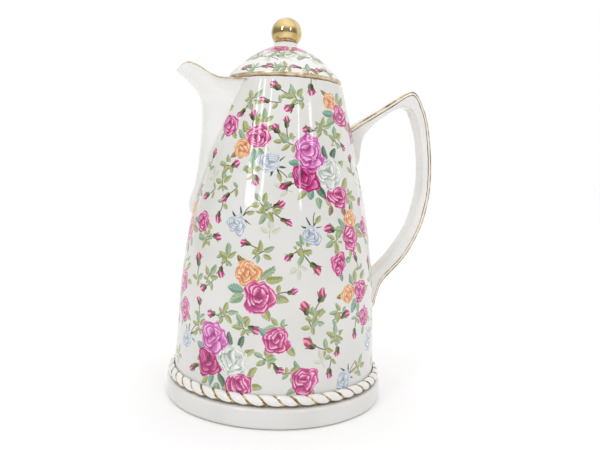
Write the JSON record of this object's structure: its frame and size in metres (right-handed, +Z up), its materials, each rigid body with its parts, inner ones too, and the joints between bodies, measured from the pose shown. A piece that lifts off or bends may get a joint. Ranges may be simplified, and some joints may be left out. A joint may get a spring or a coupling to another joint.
{
  "type": "insulated jug",
  "caption": "Tall tapering porcelain insulated jug with a rose pattern, beak spout, angular handle, twisted foot moulding and a domed lid with a gilded ball knob.",
  "frame": {"origin": "centre of the flat underside of the base, on the surface the jug stands on", "axes": "+Z up the jug's axis to the knob, +X towards the handle, spout towards -X"},
  "size_m": [0.1848, 0.15, 0.259],
  "materials": {
    "porcelain_painted": "glossy white glaze with a printed rose pattern",
    "porcelain_white": "glossy white glaze with gilded edge lines",
    "porcelain_rope": "glossy white glaze with gold outlines round each twist",
    "base_white": "glossy white, matched to the glaze",
    "gilding": "mirror-bright gilding",
    "white_plastic": "satin moulded",
    "ivory_plastic": "satin moulded",
    "grey_rubber": "matt",
    "silicone": "translucent milky, matt",
    "silvered_glass": "silvered glass",
    "pad_felt": "pressed fibre",
    "foam": "open foam",
    "steel": "turned",
    "brass": "turned"
  },
  "bodies": {
    "base": {"base_cover": "base_white", "bottom_cushion": "grey_rubber", "liner_outer_bottle": "silvered_glass", "liner_inner_bottle": "silvered_glass", "liner_pad_1": "pad_felt", "liner_pad_2": "pad_felt", "liner_pad_3": "pad_felt"},
    "gasket": {"base_gasket": "grey_rubber"},
    "shell": {"body_shell": "porcelain_painted", "spout": "porcelain_white", "handle": "porcelain_white", "rope_moulding": "porcelain_rope", "thread_ring": "ivory_plastic", "pour_collar": "white_plastic", "neck_seal": "silicone"},
    "stopper": {"stopper_body": "white_plastic", "stopper_cap": "white_plastic", "stopper_seal": "silicone", "stopper_core": "foam"},
    "lid": {"lid_dome": "porcelain_painted", "lid_disc": "white_plastic", "knob_ball": "gilding", "knob_stud": "steel", "stud_washer": "steel", "stud_nut": "brass"}
  },
  "joints": [
    {"name": "shell_rise", "type": "slide", "parent": "base", "child": "gasket", "axis": [0, 0, 1], "range_m": [0, 0.008]},
    {"name": "shell_turn", "type": "hinge", "parent": "gasket", "child": "shell", "pos_m": [0, 0, 0.0133], "axis": [0, 0, 1], "range_deg": [0, 720]},
    {"name": "lid_lift", "type": "slide", "parent": "shell", "child": "stopper", "axis": [0, 0, 1], "range_m": [0, 0.075]},
    {"name": "lid_turn", "type": "hinge", "parent": "stopper", "child": "lid", "pos_m": [0, 0, 0.2064], "axis": [0, 0, 1], "continuous": true}
  ],
  "couplings": [
    {"joint": "shell_rise", "follows": "shell_turn", "m_per_rad": 0.00063662}
  ]
}
